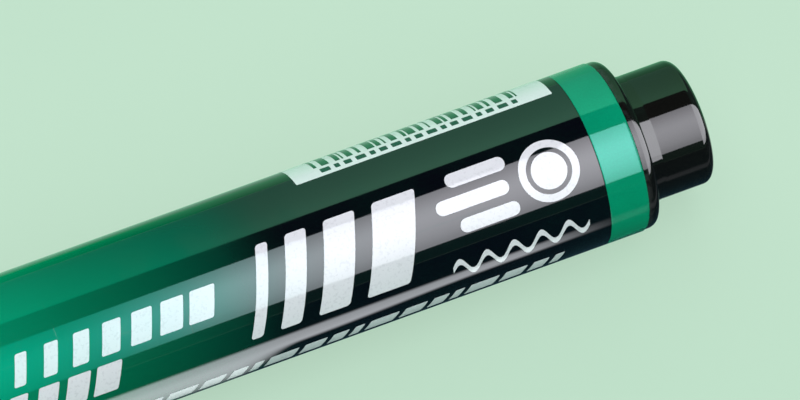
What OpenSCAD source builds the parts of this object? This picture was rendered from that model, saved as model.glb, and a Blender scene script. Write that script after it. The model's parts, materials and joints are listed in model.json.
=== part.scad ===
// Stout permanent marker with a bullet tip, lying on its side with the cap on.
// X runs along the marker from the cap to the rear post, Z is up, and the origin
// lies on the table under the middle of the marker.

/* [Barrel] */
// Outside diameter of the marker, over the label, the colour ring and the cap
barrel_d = 18; // [17.2:0.1:20]
// Wall of the barrel tube
barrel_wall = 1.3; // [1.1:0.05:1.5]
// Bare rim of the barrel in front of the label
front_rim_w = 1; // [0.5:0.1:2]
// Thickness of the shoulder between the tube and the neck
shoulder_t = 1.6; // [1:0.1:2.4]
// Diameter of the two seats for the cap, which are the neck and the rear post
seat_d = 13.2; // [12.6:0.1:13.6]
// Length of the neck in front of the shoulder
neck_len = 16; // [13:0.5:17]
// Wall of the neck
neck_wall = 1.2; // [1:0.05:1.4]
// Rounding of the front edge of the neck
neck_round = 0.4; // [0.2:0.1:0.6]
// Number of ribs inside the barrel that hold the reservoir
barrel_ribs = 6; // [4:1:8]
// Width of each rib in the barrel
barrel_rib_w = 1; // [0.6:0.1:1.6]
// Height of each rib in the barrel
barrel_rib_h = 0.6; // [0.3:0.05:0.8]

/* [Label] */
// Length of the printed label
label_len = 80; // [60:1:100]
// Thickness of the label film
label_t = 0.15; // [0.1:0.01:0.25]

/* [Colour ring] */
// Width of the colour ring along the barrel
ring_w = 4.25; // [3:0.25:7]
// Wall of the colour ring
ring_wall = 0.75; // [0.6:0.05:0.9]
// Rounding of the rear edge of the colour ring
ring_round = 0.2; // [0.1:0.05:0.4]

/* [End plug] */
// Thickness of the rim that closes the barrel
rim_t = 1.25; // [1:0.05:2]
// Step from the outside of the colour ring down to the rim
rim_step = 0.1; // [0:0.05:0.3]
// Rounding of the outer edge of the rim
rim_round = 1.2; // [0.4:0.1:1.2]
// Length of the rear post behind the rim
post_len = 7.2; // [5:0.1:12]
// Rounding of the end of the post
post_round = 0.95; // [0.3:0.05:1.5]
// Length of the raised collar at the foot of the post
post_collar_len = 1.6; // [0.8:0.1:2.5]
// Height of that collar above the post
post_collar_h = 0.18; // [0.16:0.01:0.3]
// Side wall of the plug
plug_wall = 1.3; // [1:0.05:1.6]
// End wall of the plug
plug_end_t = 1.4; // [1:0.1:2]
// Length of the spigot inside the barrel
spigot_len = 9; // [6:0.5:14]
// Rounding of the two sealing beads on the spigot
bead_round = 0.5; // [0.3:0.05:0.8]

/* [Nib holder] */
// How far the flange of the holder laps the face of the neck
flange_lap = 0.4; // [0.2:0.05:0.7]
// Thickness of that flange
flange_t = 1.1; // [0.8:0.1:2]
// Length of the spigot inside the neck
holder_spigot_len = 8; // [5:0.5:12]
// Diameter of the ringed foot in front of the flange
foot_d = 9.6; // [9:0.1:10.6]
// Length of the ringed foot
foot_len = 1.7; // [1.4:0.1:2.5]
// Depth of the grooves in the ringed foot
foot_groove = 0.2; // [0.1:0.05:0.4]
// Length of the flare from the foot to the sealing cylinder
flare_len = 2.2; // [1.5:0.1:3]
// Diameter of the cylinder that the inner cap seals on
holder_d = 7.2; // [6.8:0.1:7.6]
// Length of that cylinder
holder_len = 7; // [6:0.5:8]
// Diameter of the collar around the nib
collar_d = 6.6; // [6:0.1:6.7]
// Length of the collar around the nib
collar_len = 1.6; // [1:0.1:2.5]
// Rounding of the front edge of the collar
collar_round = 0.4; // [0.2:0.1:0.6]
// Number of air channels beside the nib
vents = 3; // [2:1:4]
// Diameter of each air channel
vent_d = 0.8; // [0.5:0.1:1]

/* [Nib] */
// Diameter of the nib
nib_d = 4.6; // [4:0.1:5]
// Length of nib in front of the holder
nib_out = 6.2; // [5.6:0.1:8]
// Radius of the curve along the sides of the bullet point
nib_ogive = 8; // [6.5:0.5:11]
// Radius of the round end of the point
nib_end = 1; // [0.6:0.1:1.3]
// Length of nib inside the reservoir
nib_soak = 8; // [5:1:15]

/* [Reservoir] */
// Thickness of the film around the fibre core
sleeve_t = 0.1; // [0.06:0.01:0.15]

/* [Cap] */
// Wall of the cap
cap_wall = 1.3; // [1.1:0.05:1.5]
// End wall of the cap
cap_end_t = 1.4; // [1:0.1:2]
// Diameter of the closed end, before its edge is rounded
cap_end_d = 16.6; // [16:0.1:17]
// Rounding of the edge of the closed end
cap_round = 1.6; // [0.6:0.1:2]
// Diameter of the shallow dish in the closed end
dish_d = 9; // [6:0.5:11]
// Depth of that dish
dish_depth = 0.4; // [0.2:0.05:0.6]
// Plain lip at the mouth of the cap
lip_w = 2.6; // [1.5:0.1:5]
// Rounding of the edge of the mouth
lip_round = 0.4; // [0.2:0.05:0.6]
// Length of the grip flutes
flute_len = 21; // [12:0.5:26]
// Plain band between the flutes and the taper
flute_band = 1.5; // [0.5:0.1:3]
// Number of grip flutes
flutes = 30; // [20:1:36]
// Diameter of the cutter that shapes a flute
flute_d = 1.3; // [1.1:0.05:1.5]
// Depth of a flute
flute_depth = 0.35; // [0.2:0.05:0.45]
// Number of ribs inside the cap
cap_ribs = 8; // [6:1:12]
// Width of each rib in the cap
cap_rib_w = 1; // [0.7:0.1:1.4]
// Distance from the mouth of the cap to the start of its ribs
cap_rib_start = 2; // [1:0.5:4]

/* [Inner cap] */
// Wall of the inner cap
inner_wall = 1.1; // [0.8:0.05:1.2]
// End wall of the inner cap
inner_end_t = 1; // [0.8:0.1:1.6]
// Distance from the flare of the holder to the mouth of the inner cap
seal_back = 2; // [1:0.1:3]
// Free space in the inner cap ahead of the nib
nib_clear = 6.1; // [5:0.1:12]

/* [Fits] */
// Radial gap between pieces that are pressed together
press_gap = 0.03; // [0.02:0.005:0.05]
// Radial gap under the label, the colour ring and the reservoir film
wrap_gap = 0.05; // [0.04:0.01:0.08]
// Radial gap between the cap ribs and the neck
cap_gap = 0.08; // [0.05:0.01:0.15]
// Radial gap between the inner cap and the holder
seal_gap = 0.06; // [0.05:0.01:0.1]
// Radial gap between the plain part of the plug spigot and the barrel
spigot_gap = 0.1; // [0.06:0.01:0.2]
// Gap between the mouth of the cap and the barrel
mouth_gap = 0.1; // [0.05:0.05:0.4]

/* [Hidden] */

// Radii
barrel_r = barrel_d / 2;
tube_r = barrel_r - label_t - wrap_gap;
bore_r = tube_r - barrel_wall;
ring_seat_r = barrel_r - ring_wall - wrap_gap;
seat_r = seat_d / 2;
neck_bore_r = seat_r - neck_wall;
rim_r = barrel_r - rim_step;
post_collar_r = seat_r + post_collar_h;
bead_r = bore_r - press_gap;
spigot_r = bore_r - spigot_gap;
flange_r = neck_bore_r + flange_lap;
nib_r = nib_d / 2;
holder_r = holder_d / 2;
foot_r = foot_d / 2;
sleeve_r = bore_r - barrel_rib_h - press_gap;
core_r = sleeve_r - sleeve_t - wrap_gap;
inner_bore_r = holder_r + seal_gap;
inner_r = inner_bore_r + inner_wall;
cap_grip_r = seat_r + cap_gap;

// Lengths that follow from the pieces inside the cap
holder_out = flange_t + foot_len + flare_len + holder_len + collar_len;
cap_len = neck_len + holder_out + nib_out + nib_clear + inner_end_t + cap_end_t - mouth_gap;

// Places along X, from the cap to the rear post
overall_len = cap_len + mouth_gap + front_rim_w + label_len + ring_w + rim_t + post_len;
x_cap_end = -overall_len / 2;
x_mouth = x_cap_end + cap_len;
x_front = x_mouth + mouth_gap;
x_label = x_front + front_rim_w;
x_ring = x_label + label_len;
x_rim = x_ring + ring_w;
x_post = x_rim + rim_t;
x_rear = x_post + post_len;

// Places along X in front of the barrel, from the neck to the point of the nib
x_neck_end = x_front - neck_len;
x_foot = x_neck_end - flange_t;
x_flare = x_foot - foot_len;
x_cylinder = x_flare - flare_len;
x_collar = x_cylinder - holder_len;
x_holder_end = x_collar - collar_len;
x_nib_end = x_holder_end - nib_out;
x_holder_tail = x_neck_end + holder_spigot_len;

// Places along X inside the barrel and the cap
x_core = x_front + shoulder_t;
x_spigot = x_rim - spigot_len;
x_nib_tail = x_core + nib_soak;
x_cap_floor = x_cap_end + cap_end_t;
x_seal = x_cylinder - seal_back;
x_flutes = x_mouth - lip_w - flute_len;
x_taper = x_flutes - flute_band;

// Bullet point: the curved sides meet the round end where the two circles touch
ogive_drop = sqrt(pow(nib_ogive - nib_end, 2) - pow(nib_ogive - nib_r, 2));
x_nib_ball = x_nib_end + nib_end;
x_ogive = x_nib_ball + ogive_drop;
x_nib_touch = x_nib_ball - nib_end * ogive_drop / (nib_ogive - nib_end);

// Taper of the cap, and the centre of the rounded edge that it runs into
taper = atan((barrel_r - cap_end_d / 2) / (x_taper - x_cap_end));
edge_r = cap_end_d / 2 + cap_round * tan(taper) - cap_round / cos(taper);
x_edge = x_cap_end + cap_round;

// Height of the axis above the table
axis_z = barrel_r;
// How far a cutter reaches past the surface that it cuts
over = 1;
// How far a rib is rooted in its wall
rib_root = 0.3;
// Facets of a full turn
fine = 128;

// Shapes shared by several pieces

// Turns a profile about the axis: its x is the radius and its y the place along X
module turned()
    translate([0, 0, axis_z])
        rotate([0, 90, 0])
            rotate_extrude($fn = fine)
                children();

// Repeats a shape about the axis, given with the axis at the origin
module around(count)
    translate([0, 0, axis_z])
        for (i = [0 : count - 1])
            rotate([i * 360 / count, 0, 0])
                children();

// Profile of a straight band from place x0 to x1 and from radius r0 to r1
module band(x0, x1, r0, r1)
    translate([r0, x0])
        square([r1 - r0, x1 - x0]);

// Profile that rounds off the outer corner at place x and radius r, of a rear end (way 1)
// or of a front end (way -1)
module corner(x, r, rounding, way)
    translate([r - rounding, x - way * rounding])
        difference() {
            translate([0, way > 0 ? 0 : -rounding - over])
                square(rounding + over);
            circle(r = rounding, $fn = fine);
        }

// Straight rib along X, from place x0 to x1 and from radius r0 to r1
module rib(x0, x1, r0, r1, width)
    translate([x0, -width / 2, r0])
        cube([x1 - x0, width, r1 - r0]);

// Barrel: tube with a neck in front, a seat for the colour ring behind and ribs for the reservoir
module barrel() color("#15181a") {
    turned() {
        band(x_front, x_ring, bore_r, tube_r);
        band(x_ring, x_rim, bore_r, ring_seat_r);
        band(x_front, x_label, bore_r, barrel_r);
        band(x_front, x_core, neck_bore_r, tube_r);
        difference() {
            band(x_neck_end, x_core, neck_bore_r, seat_r);
            corner(x_neck_end, seat_r, neck_round, -1);
        }
    }
    around(barrel_ribs)
        rib(x_core - rib_root, x_spigot, sleeve_r + press_gap, bore_r + rib_root, barrel_rib_w);
}

// Printed label wrapped around the tube
module label_film() color("#0f2a24")
    turned()
        band(x_label, x_ring, tube_r + wrap_gap, barrel_r);

// Colour ring between the label and the rim of the plug
module colour_ring() color("#018a60")
    turned()
        difference() {
            band(x_ring, x_rim, ring_seat_r + wrap_gap, barrel_r);
            corner(x_rim, barrel_r, ring_round, 1);
        }

// End plug: rim, hollow rear post and a spigot with two sealing beads
module end_plug() color("#17191a")
    turned()
        difference() {
            union() {
                difference() {
                    band(x_rim, x_post, 0, rim_r);
                    corner(x_post, rim_r, min(rim_round, rim_t), 1);
                }
                band(x_rim, x_post + post_collar_len, 0, post_collar_r);
                difference() {
                    band(x_rim, x_rear, 0, seat_r);
                    corner(x_rear, seat_r, post_round, 1);
                }
                band(x_spigot, x_post, 0, spigot_r);
                for (share = [1 / 3, 2 / 3])
                    translate([bead_r - bead_round, x_spigot + share * spigot_len])
                        circle(r = bead_round, $fn = fine);
            }
            band(x_spigot - over, x_rim, 0, spigot_r - plug_wall);
            band(x_spigot - over, x_rear - plug_end_t, 0, seat_r - plug_wall);
        }

// Nib holder: spigot in the neck, flange, ringed foot, flare, sealing cylinder and nib collar
module nib_holder() color("#1b1e20")
    difference() {
        turned()
            difference() {
                union() {
                    band(x_neck_end, x_holder_tail, 0, neck_bore_r - press_gap);
                    band(x_foot, x_neck_end, 0, flange_r);
                    band(x_flare, x_foot, 0, foot_r);
                    polygon([[0, x_cylinder], [holder_r, x_cylinder], [foot_r, x_flare], [0, x_flare]]);
                    band(x_collar, x_cylinder, 0, holder_r);
                    difference() {
                        band(x_holder_end, x_collar, 0, collar_d / 2);
                        corner(x_holder_end, collar_d / 2, collar_round, -1);
                    }
                }
                band(x_holder_end - over, x_holder_tail + over, 0, nib_r + press_gap);
                for (share = [1 / 5, 3 / 5])
                    band(x_flare + share * foot_len, x_flare + (share + 1 / 5) * foot_len,
                         foot_r - foot_groove, foot_r + over);
            }
        around(vents)
            translate([x_holder_end - over, 0, nib_r])
                rotate([0, 90, 0])
                    cylinder(d = vent_d, h = x_holder_tail - x_holder_end + 2 * over, $fn = 32);
    }

// Fibre nib, from its bullet point to its tail in the reservoir
module nib() color("#2b3a35")
    turned() {
        intersection() {
            translate([0, x_nib_ball]) circle(r = nib_end, $fn = fine);
            band(x_nib_end - over, x_nib_touch, 0, nib_r);
        }
        intersection() {
            translate([nib_r - nib_ogive, x_ogive]) circle(r = nib_ogive, $fn = 2 * fine);
            band(x_nib_touch, x_ogive, 0, nib_r + over);
        }
        band(x_ogive, x_nib_tail, 0, nib_r);
    }

// Fibre core with a blind hole for the tail of the nib
module ink_reservoir() color("#0b6b4c")
    turned()
        difference() {
            band(x_core, x_spigot, 0, core_r);
            band(x_core - over, x_nib_tail, 0, nib_r + press_gap);
        }

// Film wrapped around the fibre core
module reservoir_sleeve() color("#dfe7e2")
    turned()
        band(x_core, x_spigot, core_r + wrap_gap, sleeve_r);

// Profile of the outside of the cap: a straight grip, a taper and the rounded edge of the closed end
module cap_outline() {
    polygon([
        [0, x_cap_end],
        [edge_r, x_cap_end],
        [edge_r, x_edge],
        [edge_r + cap_round * cos(taper), x_edge - cap_round * sin(taper)],
        [barrel_r, x_taper],
        [barrel_r, x_mouth],
        [0, x_mouth]
    ]);
    translate([edge_r, x_edge])
        circle(r = cap_round, $fn = fine);
}

// Profile of the hollow of the cap, grown into the wall by the given depth
module cap_hollow(depth)
    polygon([
        [0, x_cap_floor - depth],
        [cap_end_d / 2 - cap_wall + depth, x_cap_floor - depth],
        [barrel_r - cap_wall + depth, x_taper],
        [barrel_r - cap_wall + depth, x_mouth + over],
        [0, x_mouth + over]
    ]);

// Cap: fluted shell with ribs inside that hold the inner cap and slide on the neck
module cap_shell() color("#047a56") {
    difference() {
        turned()
            difference() {
                cap_outline();
                corner(x_mouth, barrel_r, lip_round, 1);
                band(x_cap_end - over, x_cap_end + dish_depth, 0, dish_d / 2);
                cap_hollow(0);
            }
        around(flutes)
            translate([x_flutes, 0, barrel_r + flute_d / 2 - flute_depth])
                rotate([0, 90, 0])
                    cylinder(d = flute_d, h = flute_len, $fn = 32);
    }
    difference() {
        intersection() {
            around(cap_ribs)
                rib(x_cap_end, x_mouth - cap_rib_start, inner_r + press_gap, barrel_r, cap_rib_w);
            turned()
                cap_hollow(rib_root);
        }
        turned()
            band(x_seal, x_mouth, 0, cap_grip_r);
    }
}

// Inner cap: cup that seals on the holder around the nib
module inner_cap() color("#e6ebe6")
    turned()
        difference() {
            band(x_cap_floor, x_seal, 0, inner_r);
            band(x_cap_floor + inner_end_t, x_seal + over, 0, inner_bore_r);
        }

barrel();
label_film();
colour_ring();
end_plug();
nib_holder();
nib();
ink_reservoir();
reservoir_sleeve();
cap_shell();
inner_cap();
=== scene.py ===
"""Looks of a stout permanent marker with a bullet tip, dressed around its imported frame.

Lengths are in metres. X runs along the marker from the cap to the rear post, and Z is up.
"""

import json
import math

import bmesh
import bpy
from mathutils import Euler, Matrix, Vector

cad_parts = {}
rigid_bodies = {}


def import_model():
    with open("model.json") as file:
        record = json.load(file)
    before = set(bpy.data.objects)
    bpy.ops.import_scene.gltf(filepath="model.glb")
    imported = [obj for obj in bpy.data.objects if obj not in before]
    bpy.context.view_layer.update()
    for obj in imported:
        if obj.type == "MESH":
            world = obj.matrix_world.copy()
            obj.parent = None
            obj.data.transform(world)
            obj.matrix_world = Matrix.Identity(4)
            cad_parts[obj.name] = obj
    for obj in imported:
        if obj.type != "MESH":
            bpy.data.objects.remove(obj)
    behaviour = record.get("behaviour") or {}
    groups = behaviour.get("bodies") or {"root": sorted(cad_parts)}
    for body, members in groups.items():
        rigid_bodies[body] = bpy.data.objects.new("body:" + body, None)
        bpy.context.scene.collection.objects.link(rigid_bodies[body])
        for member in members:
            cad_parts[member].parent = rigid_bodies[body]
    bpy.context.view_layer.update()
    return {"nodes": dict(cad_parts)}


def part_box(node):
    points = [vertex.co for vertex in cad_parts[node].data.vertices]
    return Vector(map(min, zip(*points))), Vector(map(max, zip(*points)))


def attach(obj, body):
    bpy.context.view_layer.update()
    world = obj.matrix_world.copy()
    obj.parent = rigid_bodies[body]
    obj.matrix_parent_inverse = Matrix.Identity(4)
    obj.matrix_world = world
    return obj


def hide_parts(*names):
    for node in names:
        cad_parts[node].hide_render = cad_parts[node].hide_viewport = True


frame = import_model()

MM = 0.001

# Sizes and places that the frame gives
label_low, label_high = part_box("label_film")
_, ring_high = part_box("colour_ring")
plug_low, plug_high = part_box("end_plug")
barrel_low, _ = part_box("barrel")
holder_low, holder_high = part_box("nib_holder")
nib_low, nib_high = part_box("nib")
core_low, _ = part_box("ink_reservoir")
_, sleeve_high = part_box("reservoir_sleeve")
cap_low, cap_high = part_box("cap_shell")
cup_low, cup_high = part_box("inner_cap")

axis_z = (label_low.z + label_high.z) / 2
barrel_r = label_high.z - axis_z
rim_r = plug_high.z - axis_z
holder_r = holder_high.z - axis_z
nib_r = nib_high.z - axis_z
sleeve_r = sleeve_high.z - axis_z
cup_r = cup_high.z - axis_z

x_label = label_low.x
x_ring = label_high.x
x_rim = ring_high.x
x_spigot = plug_low.x
x_rear = plug_high.x
x_neck_end = barrel_low.x
x_core = core_low.x
x_holder_end = holder_low.x
x_holder_tail = holder_high.x
x_nib_end = nib_low.x
x_nib_tail = nib_high.x
x_cap_end = cap_low.x
x_mouth = cap_high.x
x_cup_floor = cup_low.x
x_seal = cup_high.x

# Barrel, label and ring
film_t = 0.15 * MM
film_gap = 0.05 * MM
film_round = 0.04 * MM
barrel_wall = 1.3 * MM
tube_r = barrel_r - film_t - film_gap
bore_r = tube_r - barrel_wall
ring_seat_depth = 0.8 * MM
ring_seat_r = barrel_r - ring_seat_depth
ring_bore_r = ring_seat_r + film_gap
ring_front_round = 0.06 * MM
ring_rear_round = 0.2 * MM
front_rim_w = 1 * MM
x_front = x_label - front_rim_w
front_rim_round = 0.2 * MM
seat_r = 6.6 * MM
neck_wall = 1.2 * MM
neck_bore_r = seat_r - neck_wall
neck_round = 0.4 * MM
neck_fillet = 0.3 * MM
barrel_ribs = 6
fit_gap = 0.03 * MM

# End plug
rim_w = 1.25 * MM
x_post = x_rim + rim_w
rim_shoulder_r = 1.1 * MM
rim_shoulder_turn = 30
rim_edge_r = 0.45 * MM
post_collar_rise = 0.18 * MM
post_collar_r = seat_r + post_collar_rise
post_collar_len = 1.6 * MM
post_collar_round = 0.05 * MM
post_foot_fillet = 0.25 * MM
post_round = 0.95 * MM
plug_wall = 1.3 * MM
plug_end_t = 1.4 * MM
spigot_gap = 0.1 * MM
spigot_r = bore_r - spigot_gap
bead_r = bore_r - fit_gap
bead_w = 0.5 * MM
bead_shares = (1 / 3, 2 / 3)
gate_r = 0.9 * MM
gate_depth = 0.12 * MM
gate_round = 0.1 * MM

# Nib holder and nib
flange_t = 1.1 * MM
flange_round = 0.12 * MM
foot_r = 4.8 * MM
foot_len = 1.7 * MM
foot_bands = 5
foot_groove = 0.2 * MM
flare_len = 2.2 * MM
cylinder_r = 3.6 * MM
collar_r = 3.3 * MM
collar_len = 1.6 * MM
collar_round = 0.4 * MM
step_round = 0.12 * MM
vents = 3
vent_r = 0.4 * MM
vent_sides = 24
vent_overrun = 1 * MM
x_foot = x_neck_end - flange_t
x_flare = x_foot - foot_len
x_cylinder = x_flare - flare_len
x_collar = x_holder_end + collar_len
nib_ogive = 8 * MM
nib_ogive_faces = 16
nib_ball = 1 * MM
nib_ball_faces = 6

# Cap and inner cap
cap_wall = 1.3 * MM
cap_end_t = 1.4 * MM
cap_end_r = 8.3 * MM
cap_round = 1.6 * MM
dish_r = 4.5 * MM
dish_depth = 0.4 * MM
dish_round = 0.2 * MM
lip_w = 2.6 * MM
lip_round = 0.4 * MM
mouth_round = 0.25 * MM
flutes = 30
flute_len = 21 * MM
flute_band = 1.5 * MM
flute_depth = 0.35 * MM
flute_cutter_r = 0.65 * MM
flute_ramp = 0.9 * MM
flute_ramp_shares = (0, 0.1, 0.25, 0.45, 0.7, 1)
cap_ribs = 8
cap_rib_start = 2 * MM
cap_grip_gap = 0.08 * MM
cap_grip_r = seat_r + cap_grip_gap
x_lip = x_mouth - lip_w
x_flutes = x_lip - flute_len
x_taper = x_flutes - flute_band
x_cap_floor = x_cap_end + cap_end_t
cup_wall = 1.1 * MM
cup_end_t = 1 * MM
cup_round = 0.3 * MM

# Turning: steps around the axis, faces across each rounded edge and each rib, and plain strips beside edges
turn_steps = 240
round_faces = 6
rib_faces = 5
rib_slack = 0.1 * MM
support_w = 0.12 * MM
weld_gap = 0.0005 * MM
smooth_angle = math.radians(32)


# Helpers for modelling

def begin_piece(name):
    """A new piece in edit mode with nothing in it but one small plane, all selected."""
    bpy.ops.object.select_all(action="DESELECT")
    bpy.ops.mesh.primitive_plane_add(size=MM)
    piece = bpy.context.object
    piece.name = name
    piece.data.name = name
    bpy.ops.object.mode_set(mode="EDIT")
    bpy.ops.mesh.select_mode(type="VERT")
    return piece


def begin_empty(name):
    """A new piece in edit mode with nothing in it."""
    piece = begin_piece(name)
    bpy.ops.mesh.delete(type="VERT")
    return piece


def end_piece(piece):
    """Back to object mode, with flat faces kept flat and round ones smooth."""
    bpy.ops.object.mode_set(mode="OBJECT")
    bpy.ops.object.select_all(action="DESELECT")
    piece.select_set(True)
    bpy.context.view_layer.objects.active = piece
    bpy.ops.object.shade_smooth_by_angle(angle=smooth_angle)


def draw_line(points):
    """Gathers the selected plane into the first point and extrudes it through the others."""
    bpy.ops.mesh.merge(type="CENTER")
    place = Vector((0, 0, 0))
    for number, (x, z) in enumerate(points):
        step = Vector((x, 0, z)) - place
        if number == 0:
            bpy.ops.transform.translate(value=step)
        else:
            bpy.ops.mesh.extrude_vertices_move(TRANSFORM_OT_translate={"value": step})
        place = Vector((x, 0, z))


def select_vertices(piece, wanted):
    """Selects just the vertices that pass the test."""
    mesh = bmesh.from_edit_mesh(piece.data)
    mesh.verts.index_update()
    bpy.ops.mesh.select_all(action="DESELECT")
    for vertex in mesh.verts:
        vertex.select = wanted(vertex)
    mesh.select_flush_mode()
    bmesh.update_edit_mesh(piece.data)


def select_faces(piece, wanted):
    """Selects just the faces whose centre passes the test."""
    bpy.ops.mesh.select_mode(type="FACE")
    bpy.ops.mesh.select_all(action="DESELECT")
    mesh = bmesh.from_edit_mesh(piece.data)
    for face in mesh.faces:
        face.select_set(wanted(face.calc_center_median()))
    bmesh.update_edit_mesh(piece.data)


def radius_of(place):
    return math.hypot(place.y, place.z - axis_z)


def steps_round(place):
    """How far round the axis a place lies, in steps of the turning."""
    return math.atan2(place.y, place.z - axis_z) / (2 * math.pi) * turn_steps % turn_steps


def scale_about_axis(factor):
    bpy.ops.transform.resize(value=(1, factor, factor), center_override=(0, 0, axis_z))


def weld():
    """Joins vertices that lie together, and turns all faces outwards."""
    bpy.ops.mesh.select_all(action="SELECT")
    bpy.ops.mesh.remove_doubles(threshold=weld_gap)
    bpy.ops.mesh.normals_make_consistent(inside=False)


def apply_modifier(piece, kind, **settings):
    """Gives a piece a modifier with these settings, and applies it."""
    bpy.context.view_layer.objects.active = piece
    modifier = piece.modifiers.new(kind, kind)
    for label, value in settings.items():
        setattr(modifier, label, value)
    bpy.ops.object.modifier_apply(modifier=modifier.name)


def with_supports(corners, closed):
    """Corners of a profile, with a plain point close to each side of every rounded one."""
    points = []
    count = len(corners)
    for number, corner in enumerate(corners):
        if len(corner) < 3:
            points.append(corner)
            continue
        here = Vector(corner[:2])
        reach = corner[2] + support_w
        for side in (-1, 1):
            other = corners[(number + side) % count]
            way = Vector(other[:2]) - here
            taken = other[2] + support_w if len(other) == 3 else 0
            on_outline = closed or 0 <= number + side < count
            if on_outline and way.length > reach + taken + support_w:
                points.append(tuple(here + way.normalized() * reach))
            if side < 0:
                points.append(corner)
    return points


def turned_piece(name, corners, closed=True):
    """Draws a profile of (x, radius) or (x, radius, rounding) corners and spins it about the axis."""
    points = with_supports(corners, closed)
    piece = begin_piece(name)
    draw_line([(point[0], axis_z + point[1]) for point in points])
    if closed:
        ends = [Vector((point[0], 0, axis_z + point[1])) for point in (points[0], points[-1])]
        select_vertices(piece, lambda vertex: min((vertex.co - end).length for end in ends) < weld_gap)
        bpy.ops.mesh.edge_face_add()
    for x, radius, rounding in (point for point in points if len(point) == 3):
        corner = Vector((x, 0, axis_z + radius))
        select_vertices(piece, lambda vertex: (vertex.co - corner).length < weld_gap)
        bpy.ops.mesh.bevel(offset=rounding, offset_type="OFFSET", segments=round_faces, affect="VERTICES")
    bpy.ops.mesh.select_all(action="SELECT")
    bpy.ops.mesh.spin(steps=turn_steps, angle=2 * math.pi, center=(0, 0, axis_z), axis=(1, 0, 0))
    weld()
    end_piece(piece)
    return piece


def raise_ribs(piece, count, x0, x1, wall_r, rib_r):
    """Extrudes evenly spaced strips of a round inside wall towards the axis, up to a radius."""
    spacing = turn_steps // count

    def on_rib(place):
        in_length = x0 < place.x < x1
        on_wall = wall_r[0] - rib_slack < radius_of(place) < wall_r[1] + rib_slack
        return in_length and on_wall and steps_round(place) % spacing < rib_faces

    bpy.ops.object.mode_set(mode="EDIT")
    select_faces(piece, on_rib)
    bpy.ops.mesh.extrude_region_move()
    mesh = bmesh.from_edit_mesh(piece.data)
    rings = {round(vertex.co.x, 7): radius_of(vertex.co) for vertex in mesh.verts if vertex.select}
    raised = {vertex.index for vertex in mesh.verts if vertex.select}
    bpy.ops.mesh.select_mode(type="VERT")
    for x, radius in rings.items():
        select_vertices(piece, lambda vertex: vertex.index in raised and abs(vertex.co.x - x) < weld_gap)
        scale_about_axis(rib_r / radius)
    end_piece(piece)


def arc(centre, radius, start, stop, faces):
    """Points along an arc in a profile, with angles in degrees from the +X direction."""
    angles = (math.radians(start + (stop - start) * i / faces) for i in range(faces + 1))
    return [(centre[0] + radius * math.cos(a), centre[1] + radius * math.sin(a)) for a in angles]


# Pieces of the barrel

def make_hoop(name, x0, x1, inner_r, front_round, rear_round):
    """A thin hoop around the barrel, flush with its outside."""
    return turned_piece(name, [
        (x0, inner_r),
        (x0, barrel_r, front_round),
        (x1, barrel_r, rear_round),
        (x1, inner_r),
    ])


def make_barrel_tube():
    tube = turned_piece("barrel_tube", [
        (x_neck_end, neck_bore_r),
        (x_neck_end, seat_r, neck_round),
        (x_front, seat_r, neck_fillet),
        (x_front, barrel_r, front_rim_round),
        (x_label, barrel_r, film_round),
        (x_label, tube_r),
        (x_ring, tube_r),
        (x_ring, ring_seat_r),
        (x_rim, ring_seat_r),
        (x_rim, bore_r),
        (x_spigot, bore_r),
        (x_core, bore_r),
        (x_core, neck_bore_r),
    ])
    raise_ribs(tube, barrel_ribs, x_core, x_spigot, (bore_r, bore_r), sleeve_r + fit_gap)
    return tube


def rim_outline():
    """The rim's outer edge: a soft shoulder that ends in a small rounding, and a support on its face."""
    turn_end = 90 - rim_shoulder_turn
    slope = math.radians(turn_end)
    shrink = rim_shoulder_r - rim_edge_r
    edge_x = x_post - rim_edge_r
    shoulder_x = edge_x - shrink * math.cos(slope)
    shoulder_z = rim_r - rim_shoulder_r
    edge_z = shoulder_z + shrink * math.sin(slope)
    shoulder = arc((shoulder_x, shoulder_z), rim_shoulder_r, 90, turn_end, round_faces)
    edge = arc((edge_x, edge_z), rim_edge_r, turn_end, 0, round_faces)
    return [*shoulder, *edge[1:], (x_post, edge_z - support_w)]


def make_plug_body():
    bead_places = [x_spigot + (x_rim - x_spigot) * share for share in bead_shares]
    beads = []
    for x in bead_places:
        beads += [(x - bead_w, spigot_r), (x, bead_r), (x + bead_w, spigot_r)]
    return turned_piece("plug_body", [
        (x_rear - plug_end_t, 0),
        (x_rear - plug_end_t, seat_r - plug_wall),
        (x_rim, seat_r - plug_wall),
        (x_rim, spigot_r - plug_wall),
        (x_spigot, spigot_r - plug_wall),
        (x_spigot, spigot_r),
        *beads,
        (x_rim, spigot_r),
        (x_rim, rim_r),
        *rim_outline(),
        (x_post, post_collar_r, post_foot_fillet),
        (x_post + post_collar_len, seat_r, post_collar_round),
        (x_rear, seat_r, post_round),
        (x_rear, gate_r, gate_round),
        (x_rear - gate_depth, gate_r - gate_depth),
        (x_rear - gate_depth, 0),
    ], closed=False)


def make_holder_body():
    hole_r = nib_r + fit_gap
    foot_rings = []
    for number in range(foot_bands):
        radius = foot_r - foot_groove * (number % 2)
        foot_rings += [(x_flare + foot_len * (number + side) / foot_bands, radius) for side in (0, 1)]
    body = turned_piece("holder_body", [
        (x_holder_end, hole_r),
        (x_holder_end, collar_r, collar_round),
        (x_collar, collar_r),
        (x_collar, cylinder_r, step_round),
        (x_cylinder, cylinder_r),
        *foot_rings,
        (x_foot, holder_r, flange_round),
        (x_neck_end, holder_r, flange_round),
        (x_neck_end, neck_bore_r - fit_gap),
        (x_holder_tail, neck_bore_r - fit_gap, step_round),
        (x_holder_tail, hole_r),
    ])
    cut_vents(body)
    return body


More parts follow.
